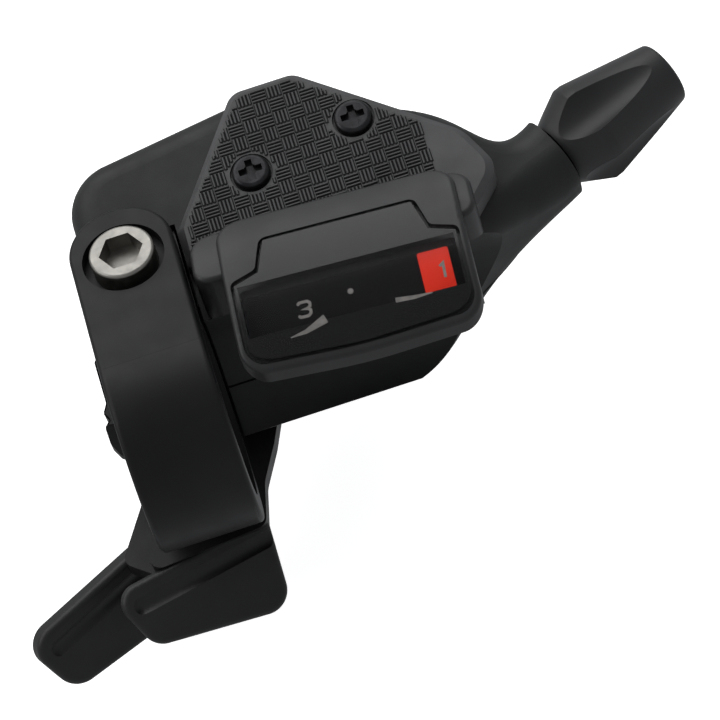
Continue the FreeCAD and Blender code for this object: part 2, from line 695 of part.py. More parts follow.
def winding_drum():
    """Cable drum with a vee groove, on a hub that carries the ratchet."""
    drum = axle_ring(DRUM_RADIUS, SLEEVE_BORE, DRUM_BASE, DRUM_TOP)
    middle = (DRUM_BASE + DRUM_TOP) / 2
    floor = DRUM_RADIUS - DRUM_GROOVE
    vee = [V(floor, 0, middle), V(DRUM_RADIUS + 0.2, 0, middle - DRUM_GROOVE - 0.2),
           V(DRUM_RADIUS + 0.2, 0, middle + DRUM_GROOVE + 0.2), V(floor, 0, middle)]
    groove = Part.Face(Part.makePolygon(vee)).revolve(ORIGIN, Z_AXIS, 360).translated(V(AXLE_X, AXLE_Y, 0))
    hub = axle_ring(AXLE_BOSS + 1.4, SLEEVE_BORE, RATCHET_BASE, DRUM_TOP)
    return drum.cut(groove).fuse(hub).removeSplitter()


def ratchet_wheel():
    """Saw-toothed wheel under the drum."""
    points = []
    step = 360.0 / RATCHET_TEETH
    for i in range(RATCHET_TEETH):
        points.append(around_axle(RATCHET_RADIUS - RATCHET_TOOTH, i * step))
        points.append(around_axle(RATCHET_RADIUS, i * step + step * 0.12))
        points.append(around_axle(RATCHET_RADIUS - RATCHET_TOOTH, i * step + step * 0.97))
    flat = Part.Face(Part.makePolygon(points + points[:1]))
    wheel = flat.extrude(V(0, 0, RATCHET_HEIGHT)).translated(V(0, 0, RATCHET_BASE))
    return wheel.cut(post(AXLE_BOSS + 1.4, AXLE_X, AXLE_Y, -FAR, FAR))


def pawl(bearing):
    """Tapered pawl from its eye to a nose just clear of the ratchet's teeth."""
    eye = around_axle(PAWL_REACH, bearing)
    nose = around_axle(RATCHET_RADIUS + FIT_GAP + 0.45, bearing - PAWL_LEAD)
    along = (nose - eye).normalize()
    side = V(-along.y, along.x, 0) * PAWL_EYE
    small = V(-along.y, along.x, 0) * 0.4
    flat = Part.Face(Part.makePolygon([eye + side, nose + small, nose - small, eye - side, eye + side]))
    body = flat.extrude(V(0, 0, RATCHET_HEIGHT - FIT_GAP)).translated(V(0, 0, RATCHET_BASE))
    body = body.fuse(post(PAWL_EYE, eye.x, eye.y, RATCHET_BASE, DRUM_BASE - FIT_GAP)).removeSplitter()
    return body.cut(post(PAWL_PIN + RUN_GAP, eye.x, eye.y, -FAR, FAR))


def pawl_carrier():
    """Plate on the pull lever's sleeve with an arm out to the drive pawl."""
    at = around_axle(PAWL_REACH, DRIVE_PAWL_AT)
    side = around_axle(1, DRIVE_PAWL_AT + 90) - V(AXLE_X, AXLE_Y, 0)
    centre = V(AXLE_X, AXLE_Y, 0)
    root = side * CARRIER_HUB * 0.8
    end = side * CARRIER_ARM
    points = [centre + root, at + end, at - end, centre - root, centre + root]
    arm = Part.Face(Part.makePolygon(points)).extrude(V(0, 0, CARRIER_HEIGHT))
    arm = arm.translated(V(0, 0, CARRIER_BASE))
    plate = arm.fuse(post(CARRIER_HUB, AXLE_X, AXLE_Y, CARRIER_BASE, CARRIER_TOP))
    plate = plate.fuse(post(CARRIER_ARM, at.x, at.y, CARRIER_BASE, CARRIER_TOP)).removeSplitter()
    plate = plate.cut(post(SLEEVE_RADIUS, AXLE_X, AXLE_Y, -FAR, FAR))
    return plate.cut(post(PAWL_PIN, at.x, at.y, -FAR, FAR))


def drive_pawl_pin():
    at = around_axle(PAWL_REACH, DRIVE_PAWL_AT)
    return post(PAWL_PIN, at.x, at.y, CARRIER_BASE, DRUM_BASE + 0.4)


def holding_pawl_pin():
    """Shouldered post on the base plate."""
    at = around_axle(PAWL_REACH, HOLDING_PAWL_AT)
    pin = post(PAWL_PIN, at.x, at.y, BASE_LOW, DRUM_BASE + 0.4)
    return pin.fuse(post(PAWL_EYE * 0.85, at.x, at.y, BASE_TOP, RATCHET_BASE - FIT_GAP)).removeSplitter()


def coil(radius, wire, low, turns, pitch):
    """Torsion spring about the main pivot, swept along quarter turn arcs."""
    def on_helix(quarters):
        turn = math.radians(90 * quarters)
        return V(radius * math.cos(turn), radius * math.sin(turn), pitch * quarters / 4)

    arcs = [Part.Arc(on_helix(i), on_helix(i + 0.5), on_helix(i + 1)).toShape() for i in range(4 * turns)]
    section = Part.Wire(Part.makeCircle(wire / 2, V(radius, 0, 0), V(0, 1, 0)))
    spring = Part.Wire(arcs).makePipeShell([section], True, False)
    return spring.translated(V(AXLE_X, AXLE_Y, low + wire / 2))


def drum_return_spring():
    return coil(AXLE_BOSS + FIT_GAP + WIRE / 2, WIRE, DRUM_TOP + FIT_GAP, 2, WIRE * 1.15)


def lever_return_spring():
    return coil(SLEEVE_RADIUS + FIT_GAP + WIRE / 2, WIRE, BASE_TOP, 1, WIRE * 1.15)


def release_lever_spring():
    """Two turns that fill the height between the release lever's arm and the floor."""
    room = FLOOR_Z - RELEASE_ARM_TOP - 2 * SPRING_GAP
    radius = SLEEVE_RADIUS + RELEASE_COLLAR + FIT_GAP + RELEASE_WIRE
    return coil(radius, RELEASE_WIRE, RELEASE_ARM_TOP + SPRING_GAP, 2, (room - RELEASE_WIRE) / 2)


def pad_plate(ridge_start, ridge_end, slope, plan):
    """Push plate hung from a level ridge and sloping down towards the rider."""
    along = (ridge_end - ridge_start).normalize()
    out = V(-along.y, along.x, 0)
    lean = math.radians(slope)
    down = out * math.cos(lean) - Z_AXIS * math.sin(lean)
    face = out * math.sin(lean) + Z_AXIS * math.cos(lean)
    plate = prism(plan, -PAD_THICKNESS, 0)
    plate = filleted(plate, PAD_EDGE, lambda edge: abs(edge.CenterOfMass.z) < 0.01)
    ridge_length = (ridge_end - ridge_start).Length
    crease_end = V(ridge_length - CREASE_END_GAP, CREASE_AT, CREASE_RADIUS - CREASE_DEPTH)
    crease = rod(CREASE_RADIUS, V(-1, crease_end.y, crease_end.z), crease_end)
    plate = plate.cut(crease.fuse(Part.makeSphere(CREASE_RADIUS, crease_end)))
    place = FreeCAD.Matrix(along.x, down.x, face.x, ridge_start.x, along.y, down.y, face.y, ridge_start.y,
                           along.z, down.z, face.z, ridge_start.z)
    return plate.transformGeometry(place)


def ridge_points(ridge, z):
    return V(ridge[0][0], ridge[0][1], z), V(ridge[1][0], ridge[1][1], z)


def release_lever():
    """Near lever: hub, arm past the clamp's ring and a broad push plate."""
    hub_left = (AXLE_X - RELEASE_HUB, AXLE_Y + 1, HUB_BLEND)
    hub_right = (AXLE_X + RELEASE_HUB - 0.5, AXLE_Y - 3, HUB_BLEND)
    arm = prism([hub_left] + RELEASE_ARM_PLAN + [hub_right], RELEASE_LOW, RELEASE_ARM_TOP)
    lever = arm.fuse(post(RELEASE_HUB, AXLE_X, AXLE_Y, RELEASE_LOW, RELEASE_ARM_TOP))
    lever = lever.fuse(post(SLEEVE_RADIUS + RELEASE_COLLAR, AXLE_X, AXLE_Y, RELEASE_LOW, RELEASE_TOP))
    start, end = ridge_points(RELEASE_RIDGE, RELEASE_ARM_TOP)
    length = (end - start).Length
    near, tip = RELEASE_PAD_DEPTH
    pad = pad_plate(start, end, RELEASE_PAD_SLOPE,
                    [(0, 0, 1.5), (2.6, near, 3.2), (length - 2.4, tip, 3.0), (length, 0, 2.6)])
    lever = lever.fuse(pad).removeSplitter()
    return lever.cut(post(SLEEVE_RADIUS + RUN_GAP, AXLE_X, AXLE_Y, -FAR, FAR))


def pull_lever():
    """Far lever: hub with a sleeve up into the housing, arm and a long push plate."""
    hub_left = (AXLE_X - PULL_HUB + 0.6, AXLE_Y, HUB_BLEND)
    hub_right = (AXLE_X + PULL_HUB - 0.6, AXLE_Y - 2, HUB_BLEND)
    arm = prism([hub_left] + PULL_ARM_PLAN + [hub_right], PULL_LOW, PULL_TOP)
    lever = arm.fuse(post(PULL_HUB, AXLE_X, AXLE_Y, PULL_LOW, PULL_TOP))
    lever = lever.fuse(post(SLEEVE_RADIUS, AXLE_X, AXLE_Y, PULL_LOW, CARRIER_TOP))
    start, end = ridge_points(PULL_RIDGE, PULL_TOP - PULL_RIDGE_DROP)
    length = (end - start).Length
    near, tip = PULL_PAD_DEPTH
    pad = pad_plate(start, end, PULL_PAD_SLOPE,
                    [(0, 0, 1.5), (1.5, near, 3.0), (length - 1.6, tip, 3.6), (length, 0, 3.2)])
    lever = lever.fuse(pad).removeSplitter()
    return lever.cut(post(SLEEVE_BORE, AXLE_X, AXLE_Y, -FAR, FAR))


def barrel_adjuster():
    """Fluted finger barrel with a shank in the neck and a socket for the cable casing."""
    profile = [V(0, 0, BARREL_GAP), V(BARREL_WAIST, 0, BARREL_GAP), V(BARREL_BELLY, 0, BARREL_BELLY_AT),
               V(BARREL_BELLY, 0, BARREL_BELLY_AT + 1.2), V(BARREL_TIP, 0, BARREL_LENGTH),
               V(0, 0, BARREL_LENGTH)]
    body = Part.Face(Part.makePolygon(profile + profile[:1])).revolve(ORIGIN, Z_AXIS, 360)
    body = filleted(body, BARREL_EDGE, lambda edge: edge.CenterOfMass.z > BARREL_BELLY_AT - 0.1
                    and edge.Length > 6 * BARREL_TIP)
    for i in range(BARREL_FLUTES):
        flute = post(FLUTE_RADIUS, FLUTE_AT, 0, -FAR, FAR)
        body = body.cut(flute.rotated(ORIGIN, Z_AXIS, FLUTE_TURN + 360.0 / BARREL_FLUTES * i))
    body = body.fuse(post(NECK_BORE - RUN_GAP, 0, 0, -BARREL_SHANK, BARREL_GAP + 1))
    body = body.cut(post(CASING_BORE, 0, 0, BARREL_LENGTH - CASING_DEPTH, FAR))
    body = body.cut(post(CABLE_BORE, 0, 0, -FAR, FAR)).removeSplitter()
    laid = body.rotated(ORIGIN, V(0, 1, 0), 90).rotated(ORIGIN, Z_AXIS, NECK_TURN)
    return laid.translated(neck_point(0))


def main():
    os.makedirs("parts", exist_ok=True)
    envelope = body_envelope()
    cover = cover_blank(envelope)
    shapes = {
        "upper_housing": upper_housing(envelope), "lower_cover": lower_cover(envelope),
        "top_cover": top_cover(envelope), "indicator_bezel": indicator_bezel(envelope, cover),
        "indicator_lens": indicator_lens(), "indicator_dial": indicator_dial(),
        "indicator_slider": indicator_slider(), "cover_screws": cover_screws(),
        "lower_cover_screws": lower_cover_screws(), "clamp_band": clamp_band(), "clamp_bolt": clamp_bolt(),
        "base_plate": base_plate(), "pivot_axle": pivot_axle(), "axle_washer": axle_washer(),
        "axle_nut": axle_nut(), "winding_drum": winding_drum(), "ratchet_wheel": ratchet_wheel(),
        "drive_pawl": pawl(DRIVE_PAWL_AT), "holding_pawl": pawl(HOLDING_PAWL_AT),
        "pawl_carrier": pawl_carrier(), "drive_pawl_pin": drive_pawl_pin(),
        "holding_pawl_pin": holding_pawl_pin(), "drum_return_spring": drum_return_spring(),
        "lever_return_spring": lever_return_spring(), "release_lever_spring": release_lever_spring(),
        "release_lever": release_lever(), "pull_lever": pull_lever(), "barrel_adjuster": barrel_adjuster()}
    for name, shape in shapes.items():
        shape.exportStep(f"parts/{name}.step")


main()
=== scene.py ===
"""Dresses the trigger shifter: finishes, the woven cover, the window's print, the studio and the camera."""
import bpy
import bmesh
import math
from mathutils import Matrix, Vector
from mathutils.bvhtree import BVHTree


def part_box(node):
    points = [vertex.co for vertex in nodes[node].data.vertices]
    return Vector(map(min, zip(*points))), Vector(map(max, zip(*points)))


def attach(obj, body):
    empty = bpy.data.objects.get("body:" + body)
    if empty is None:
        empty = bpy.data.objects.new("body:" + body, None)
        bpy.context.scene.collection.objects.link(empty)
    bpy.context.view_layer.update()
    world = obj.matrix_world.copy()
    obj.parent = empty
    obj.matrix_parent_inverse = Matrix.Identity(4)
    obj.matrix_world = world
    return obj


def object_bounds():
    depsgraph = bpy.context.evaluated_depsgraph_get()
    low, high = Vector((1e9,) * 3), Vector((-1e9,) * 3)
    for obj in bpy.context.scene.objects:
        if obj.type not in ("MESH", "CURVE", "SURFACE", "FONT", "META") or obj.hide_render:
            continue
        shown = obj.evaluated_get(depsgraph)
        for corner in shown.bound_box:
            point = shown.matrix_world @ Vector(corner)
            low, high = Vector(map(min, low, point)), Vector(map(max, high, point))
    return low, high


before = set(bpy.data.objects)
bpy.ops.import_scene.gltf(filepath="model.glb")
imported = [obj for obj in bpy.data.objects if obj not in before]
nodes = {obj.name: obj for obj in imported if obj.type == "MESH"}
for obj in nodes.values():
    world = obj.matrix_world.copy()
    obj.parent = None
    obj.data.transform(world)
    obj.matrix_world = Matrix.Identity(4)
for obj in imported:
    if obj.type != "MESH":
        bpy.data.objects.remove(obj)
cad_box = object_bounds()
MM = 0.001

# Noise keeps mostly to the middle of its range, so that part is stretched over a finish's whole spread
NOISE_LOW = 0.3
NOISE_HIGH = 0.7
# Size of the gloss patches beside the colour patches
GLOSS_SHARE = 0.37


def linear(hexa):
    """sRGB hex text to a linear colour."""
    channels = [int(hexa[i:i + 2], 16) / 255 for i in (1, 3, 5)]
    return [c / 12.92 if c <= 0.04045 else ((c + 0.055) / 1.055) ** 2.4 for c in channels] + [1.0]


def add(tree, kind, links=(), inputs=(), **settings):
    """Add one shader node, set its properties and inputs, and link sockets into it."""
    made = tree.nodes.new(kind)
    for name, value in settings.items():
        setattr(made, name, value)
    for name, value in dict(inputs).items():
        made.inputs[name].default_value = value
    for name, socket in dict(links).items():
        tree.links.new(socket, made.inputs[name])
    return made


def mottle(tree, size_mm, detail, stretch):
    """Uneven pattern from 0 to 1, sized in the part's own millimetres."""
    place = add(tree, "ShaderNodeTexCoord")
    scale = [s / (size_mm * MM) for s in stretch]
    scaled = add(tree, "ShaderNodeVectorMath", {0: place.outputs["Object"]}, {1: scale}, operation="MULTIPLY")
    made = add(tree, "ShaderNodeTexNoise", {"Vector": scaled.outputs[0]}, {"Scale": 1.0, "Detail": detail})
    return made.outputs["Fac"]


def surface(name, dark, light, patch_mm, rough, grain_mm, grain_depth, stretch=(1, 1, 1), **fixed):
    """Finish with slow colour patches, uneven gloss and a fine grain, all sized in millimetres."""
    made = bpy.data.materials.new(name)
    made.use_nodes = True
    tree = made.node_tree
    shader = tree.nodes["Principled BSDF"]
    patches = mottle(tree, patch_mm, 3.0, stretch)
    wear = mottle(tree, patch_mm * GLOSS_SHARE, 4.0, stretch)
    grain = mottle(tree, grain_mm, 2.0, stretch)
    span = {"From Min": NOISE_LOW, "From Max": NOISE_HIGH}
    blend = add(tree, "ShaderNodeMapRange", {"Value": patches}, span)
    colour = add(tree, "ShaderNodeMix", {"Factor": blend.outputs["Result"]},
                 {6: linear(dark), 7: linear(light)}, data_type="RGBA")
    gloss = add(tree, "ShaderNodeMapRange", {"Value": wear}, {**span, "To Min": rough[0], "To Max": rough[1]})
    bump = add(tree, "ShaderNodeBump", {"Height": grain}, {"Strength": 1.0, "Distance": grain_depth * MM})
    tree.links.new(colour.outputs[2], shader.inputs["Base Color"])
    tree.links.new(gloss.outputs["Result"], shader.inputs["Roughness"])
    tree.links.new(bump.outputs["Normal"], shader.inputs["Normal"])
    for socket, value in fixed.items():
        shader.inputs[socket.replace("_", " ")].default_value = value
    return made


# Injection moulded nylon with a spark eroded grain: a soft grey sheen that breaks up highlights.
# The grain is drawn about twice as coarse as the real one, so that it shows.
NYLON = surface("nylon_injection_moulded_spark_grain", "#111112", "#191a1a", 9, (0.46, 0.58), 0.22, 0.012,
                Specular_IOR_Level=0.3)
# Nylon from a smoother tool: a little lighter, with tighter highlights along the edges
SATIN = surface("nylon_injection_moulded_satin", "#1a1a1b", "#232324", 12, (0.38, 0.48), 0.3, 0.005,
                Specular_IOR_Level=0.34)
# Cover nylon: greyer still, so the raised weave catches the light
WEAVE = surface("nylon_moulded_basket_weave", "#313132", "#3d3d3e", 6, (0.42, 0.54), 0.18, 0.008,
                Specular_IOR_Level=0.45)
# Lever nylon: matt and fine grained from the tool, with faint handling gloss
LEVER = surface("nylon_moulded_matt_lever", "#0d0d0e", "#141415", 8, (0.4, 0.52), 0.25, 0.010,
                Specular_IOR_Level=0.36)
# Satin powder coat on the clamp band: even black with faint orange peel
COAT = surface("steel_band_satin_powder_coat", "#0d0d0e", "#131314", 10, (0.4, 0.5), 0.7, 0.006,
               Specular_IOR_Level=0.2)
# Zinc plated bolt: bright, with a slightly uneven gloss
BRIGHT = surface("steel_bolt_bright_zinc", "#75736f", "#908e89", 2.5, (0.3, 0.44), 0.12, 0.004,
                 Metallic=1.0)
# Black oxide screws: dark metal with a soft oil sheen
OXIDE = surface("steel_screw_black_oxide", "#18181a", "#2a2a2c", 1.5, (0.26, 0.4), 0.15, 0.006,
                Metallic=0.7)
# Zinc plate on the pressed pieces: cool grey with rolling streaks
ZINC = surface("steel_pressed_zinc_plate", "#8f9294", "#b4b7b8", 4, (0.3, 0.46), 0.3, 0.004, (0.25, 1, 1),
               Metallic=1.0)
# Drawn spring wire: grey and finely mottled
WIRE = surface("steel_drawn_spring_wire", "#6f6f70", "#8e8e8f", 1.2, (0.3, 0.45), 0.1, 0.003,
               Metallic=1.0)
# Nylon drum: plain black, dry and matt
DRUM = surface("nylon_moulded_dry_drum", "#202022", "#2b2b2d", 5, (0.55, 0.66), 0.3, 0.008)
# Dial plate: flat black print
DIAL = surface("dial_plate_black_print", "#050506", "#0a0a0b", 6, (0.6, 0.72), 0.4, 0.0005,
               Specular_IOR_Level=0.15)
# Red pointer: bright red moulded through, with a faint painted glow so it still reads behind the smoked
# window
RED = surface("pointer_red_with_painted_glow", "#e82c16", "#f5381f", 3, (0.3, 0.42), 0.3, 0.003,
              Emission_Color=linear("#e02812"), Emission_Strength=0.2, Specular_IOR_Level=0.2)
# Bottom of the parting line: the same nylon where no light reaches, so it reads as a black gap
SHADOW = surface("nylon_parting_line_unlit", "#030303", "#060606", 4, (0.75, 0.85), 0.3, 0.004,
                 Specular_IOR_Level=0.08)
# Painted shade on the floor of the weave: the same nylon, painted dark because little light gets down between
# the bars
GAP_SHADE = surface("painted_shade_weave_floor", "#080808", "#0d0d0e", 5, (0.6, 0.7), 0.2, 0.004,
                 Specular_IOR_Level=0.18)
# Screen print under the face of the window: black, with the gloss of the acrylic in front of it
PRINT = surface("acrylic_under_face_screen_print_black", "#030303", "#070707", 3, (0.2, 0.27), 8, 0.0005,
                Specular_IOR_Level=0.34)
# Pale ink under the face of the window: thin and grey
INK = surface("window_ink_pale_grey", "#6f6b68", "#86827e", 0.8, (0.5, 0.65), 0.12, 0.002)
# Polished acrylic with a light smoke tint: it dims the dial a little and hides nothing
SMOKE = surface("acrylic_smoked_polished", "#030303", "#060505", 14, (0.17, 0.22), 6, 0.0004,
                Alpha=0.12, Specular_IOR_Level=0.45)

FINISH = {
    "upper_housing": NYLON, "lower_cover": NYLON, "top_cover": WEAVE, "indicator_bezel": SATIN,
    "indicator_lens": SMOKE, "indicator_dial": DIAL, "indicator_slider": RED, "cover_screws": OXIDE,
    "lower_cover_screws": OXIDE, "clamp_band": COAT, "clamp_bolt": BRIGHT, "base_plate": ZINC,
    "pivot_axle": ZINC, "axle_washer": ZINC, "axle_nut": ZINC, "winding_drum": DRUM, "ratchet_wheel": ZINC,
    "drive_pawl": ZINC, "holding_pawl": ZINC, "pawl_carrier": ZINC, "drive_pawl_pin": ZINC,
    "holding_pawl_pin": ZINC, "drum_return_spring": WIRE, "lever_return_spring": WIRE,
    "release_lever_spring": WIRE, "release_lever": LEVER, "pull_lever": LEVER, "barrel_adjuster": SATIN}

# Soft moulded edges in millimetres on the solids that show, on corners sharper than an angle in degrees
EDGES = {
    "upper_housing": 0.35, "lower_cover": 0.3, "top_cover": 0.2, "indicator_bezel": 0.25, "clamp_band": 0.2,
    "clamp_bolt": 0.12, "release_lever": 0.4, "pull_lever": 0.4, "barrel_adjuster": 0.3,
    "indicator_lens": 0.1, "indicator_slider": 0.15}
EDGE_ANGLE = 38.0
EDGE_SEGMENTS = 2


def dress(name, material):
    """Give a solid its finish, and a soft edge where it shows."""
    solid = nodes[name]
    solid.data.materials.clear()
    solid.data.materials.append(material)
    if name in EDGES:
        soft = solid.modifiers.new("soft_edge", "BEVEL")
        soft.width = EDGES[name] * MM
        soft.segments = EDGE_SEGMENTS
        soft.limit_method = "ANGLE"
        soft.angle_limit = math.radians(EDGE_ANGLE)
        soft.harden_normals = False


for node_name, node_material in FINISH.items():
    dress(node_name, node_material)


def piece(name, build, material, body):
    """Mesh piece built in millimetres by a function that fills a bmesh."""
    mesh = bmesh.new()
    build(mesh)
    bmesh.ops.scale(mesh, vec=(MM, MM, MM), verts=mesh.verts)
    bmesh.ops.recalc_face_normals(mesh, faces=mesh.faces)
    data = bpy.data.meshes.new(name)
    mesh.to_mesh(data)
    mesh.free()
    made = bpy.data.objects.new(name, data)
    bpy.context.scene.collection.objects.link(made)
    data.materials.append(material)
    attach(made, body)
    return made


def walls(mesh, rings):
    """Faces between each ring of points and the next."""
    for one, two in zip(rings, rings[1:]):
        for i in range(len(one)):
            j = (i + 1) % len(one)
            mesh.faces.new((one[i], one[j], two[j], two[i]))


def closed_skin(mesh, rings):
    """Walls between rings of points, with a face at each end."""
    mesh.faces.new(rings[0][::-1])
    walls(mesh, rings)
    mesh.faces.new(rings[-1])


def solid_tree(name):
    """Search tree over a solid's own mesh, in metres."""
    data = nodes[name].data
    corners = [v.co.copy() for v in data.vertices]
    return BVHTree.FromPolygons(corners, [list(p.vertices) for p in data.polygons])


cover_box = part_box("top_cover")
COVER_TOP = cover_box[1][2] / MM
TOP_TOLERANCE = 0.02
SKY_HEIGHT = 50.0

# Basket weave moulded on the cover: square cells of four bars, turned in every other cell
WEAVE_CELL = 2.0
WEAVE_BARS = 4
WEAVE_PITCH = 0.48
WEAVE_WIDTH = 0.29
WEAVE_LENGTH = 1.86
WEAVE_SHORTEST = 1.5 * WEAVE_WIDTH
WEAVE_RISE = 0.24
WEAVE_SINK = 0.03
# Height of the thin sheet of painted shade laid between the weave bars
WEAVE_SHADE_RISE = 0.03
WEAVE_MARGIN = 0.35
WEAVE_RIGHT = 40.5
WEAVE_STEP = 0.1
# A bar's sides stand upright for a share of its rise and then slope in
BAR_UPRIGHT = 0.45
BAR_SLOPE = 0.24 * WEAVE_WIDTH

cover_tree = solid_tree("top_cover")
above_trees = [solid_tree("indicator_bezel"), solid_tree("cover_screws")]


def bare_top(x, y):
    """True where the cover's flat top is open to the sky, in millimetres."""
    origin = Vector((x * MM, y * MM, SKY_HEIGHT * MM))
    down = Vector((0, 0, -1))
    hit = cover_tree.ray_cast(origin, down)[0]
    if hit is None or hit.z < (COVER_TOP - TOP_TOLERANCE) * MM:
        return False
    return all(tree.ray_cast(origin, down)[0] is None for tree in above_trees)


def roomy_top(x, y):
    """True where the flat top stays open for a margin all round."""
    around = [(0, 0), (WEAVE_MARGIN, 0), (-WEAVE_MARGIN, 0), (0, WEAVE_MARGIN), (0, -WEAVE_MARGIN)]
    return x < WEAVE_RIGHT and all(bare_top(x + dx, y + dy) for dx, dy in around)


def open_run(x, y, along):
    """Longest open stretch of one bar, as two distances from its middle."""
    best = (0, 0)
    start = None
    steps = round(WEAVE_LENGTH / WEAVE_STEP)
    for i in range(steps + 2):
        at = -WEAVE_LENGTH / 2 + i * WEAVE_STEP
        inside = i <= steps and roomy_top(x + along[0] * at, y + along[1] * at)
        if inside and start is None:
            start = at
        if not inside and start is not None:
            if at - WEAVE_STEP - start > best[1] - best[0]:
                best = (start, at - WEAVE_STEP)
            start = None
    return best


def bar(mesh, x, y, along, run, width, rise):
    """Raised bar with sides and ends that slope in towards the top."""
    across = (-along[1], along[0])
    rings = []
    for inset, lift in ((0, -WEAVE_SINK), (0, rise * BAR_UPRIGHT), (BAR_SLOPE, rise)):
        half = width / 2 - inset
        start = run[0] + inset
        end = run[1] - inset
        corners = [(start, -half), (end, -half), (end, half), (start, half)]
        plan = [(x + along[0] * s + across[0] * t, y + along[1] * s + across[1] * t) for s, t in corners]
        rings.append([mesh.verts.new((right, up, COVER_TOP + lift)) for right, up in plan])
    closed_skin(mesh, rings)


def weave_runs():
    """Middle, direction and open stretch of every bar that has room on the cover."""
    low, high = [[c / MM for c in corner] for corner in cover_box]
    for i in range(math.ceil((high[0] - low[0]) / WEAVE_CELL)):
        for j in range(math.ceil((high[1] - low[1]) / WEAVE_CELL)):
            along, across = ((1, 0), (0, 1)) if (i + j) % 2 else ((0, 1), (1, 0))
            for k in range(WEAVE_BARS):
                aside = (k - (WEAVE_BARS - 1) / 2) * WEAVE_PITCH
                x = low[0] + (i + 0.5) * WEAVE_CELL + across[0] * aside
                y = low[1] + (j + 0.5) * WEAVE_CELL + across[1] * aside
                run = open_run(x, y, along)
                if run[1] - run[0] > WEAVE_SHORTEST:
                    yield x, y, along, run


WEAVE_RUNS = list(weave_runs())


def weave(mesh):
    """Raised bars of the basket weave."""
    for x, y, along, run in WEAVE_RUNS:
        bar(mesh, x, y, along, run, WEAVE_WIDTH, WEAVE_RISE)


def weave_gap_shade_sheet(mesh):
    """Thin sheet of painted shade that shows in the gaps between the bars."""
    for x, y, along, run in WEAVE_RUNS:
        bar(mesh, x, y, along, run, WEAVE_PITCH, WEAVE_SHADE_RISE)


piece("cover_weave", weave, WEAVE, "body")
# Painted shade: a dark sheet under the weave, standing in for the shade between the bars
piece("cover_weave_painted_shade", weave_gap_shade_sheet, GAP_SHADE, "body")

# The display's own frame: its place and turn in plan, the curve of its top, and the clamp's lean
DISPLAY_AT = (26.2, 4.4)
DISPLAY_TURN = -4.5
DISPLAY_TOP = 16.2
DISPLAY_ARC = 30.0
DISPLAY_CREST = 3.6
CLAMP_TILT = 12.0


def display_point(u, v, depth):
    """Point at a place on the display's plan, at a depth below its curved top, in millimetres."""
    rise = DISPLAY_TOP - DISPLAY_ARC + math.sqrt((DISPLAY_ARC - depth) ** 2 - (v - DISPLAY_CREST) ** 2)
    turned = Matrix.Rotation(math.radians(DISPLAY_TURN), 3, "Z") @ Vector((u, v, rise))
    placed = turned + Vector((DISPLAY_AT[0], DISPLAY_AT[1], 0))
    return Matrix.Rotation(math.radians(-CLAMP_TILT), 3, "X") @ placed


# Marks in pale ink: gear numbers in a unit box one high, a spot, and tapered marks of (u, v, width) points
INK_DEPTH = 0.015
INK_THICKNESS = 0.02
DIGIT_THREE = [(0.04, 0.84), (0.16, 0.98), (0.7, 0.98), (0.86, 0.84), (0.84, 0.64), (0.68, 0.52),
               (0.4, 0.5), (0.68, 0.48), (0.82, 0.36), (0.8, 0.16), (0.62, 0.02), (0.1, 0.02), (-0.02, 0.16)]
DIGIT_ONE = [(0.2, 0.8), (0.46, 0.98), (0.42, 0.0)]
DIGIT_HEIGHT = 1.9
DIGIT_STROKE = 0.36
THREE_AT = (-7.0, -6.3)
ONE_AT = (10.7, -5.9)
DOT_AT = (-0.2, -4.6)
DOT_RADIUS = 0.36
DOT_SIDES = 24
NEAR_WEDGE = [(-8.6, -8.3, 0.1), (-6.6, -8.05, 0.5), (-3.9, -7.1, 1.1)]
FAR_WEDGE = [(4.9, -7.1, 0.6), (7.2, -7.3, 0.45), (9.5, -7.3, 0.12)]
# Sharpest corner at which a stroke keeps its full width, as a cosine
MITRE_LIMIT = 0.4


def ribbon(mesh, path):
    """Thin printed stroke along (u, v, width) points, laid under the face of the window."""
    points = [Vector((u, v)) for u, v, _ in path]
    rings = []
    for i, (u, v, width) in enumerate(path):
        before = (points[i] - points[i - 1]).normalized() if i else None
        after = (points[i + 1] - points[i]).normalized() if i + 1 < len(path) else None
        ways = [w for w in (before, after) if w is not None]
        way = sum(ways, Vector((0, 0))).normalized()
        reach = width / 2 / max(MITRE_LIMIT, way.dot(ways[0]))
        side = Vector((-way.y, way.x)) * reach
        corners = [(side, 0), (-side, 0), (-side, INK_THICKNESS), (side, INK_THICKNESS)]
        places = [display_point(u + s.x, v + s.y, INK_DEPTH + down) for s, down in corners]
        rings.append([mesh.verts.new(place) for place in places])
    closed_skin(mesh, rings)


def digit(mesh, shape, corner):
    """One printed number, with its lower left corner at a place on the display."""
    u, v = corner
    ribbon(mesh, [(u + right * DIGIT_HEIGHT, v + up * DIGIT_HEIGHT, DIGIT_STROKE) for right, up in shape])


def dot(mesh, centre, radius):
    """Round printed spot."""
    turns = [2 * math.pi * i / DOT_SIDES for i in range(DOT_SIDES)]
    edge = [(centre[0] + radius * math.cos(t), centre[1] + radius * math.sin(t)) for t in turns]
    depths = (INK_DEPTH, INK_DEPTH + INK_THICKNESS)
    closed_skin(mesh, [[mesh.verts.new(display_point(u, v, depth)) for u, v in edge] for depth in depths])


def gear_marks(mesh):
    """Gear numbers, the middle gear's spot and the two tapered marks."""
    digit(mesh, DIGIT_THREE, THREE_AT)
    digit(mesh, DIGIT_ONE, ONE_AT)
    dot(mesh, DOT_AT, DOT_RADIUS)
    ribbon(mesh, NEAR_WEDGE)
    ribbon(mesh, FAR_WEDGE)


piece("gear_marks", gear_marks, INK, "body")

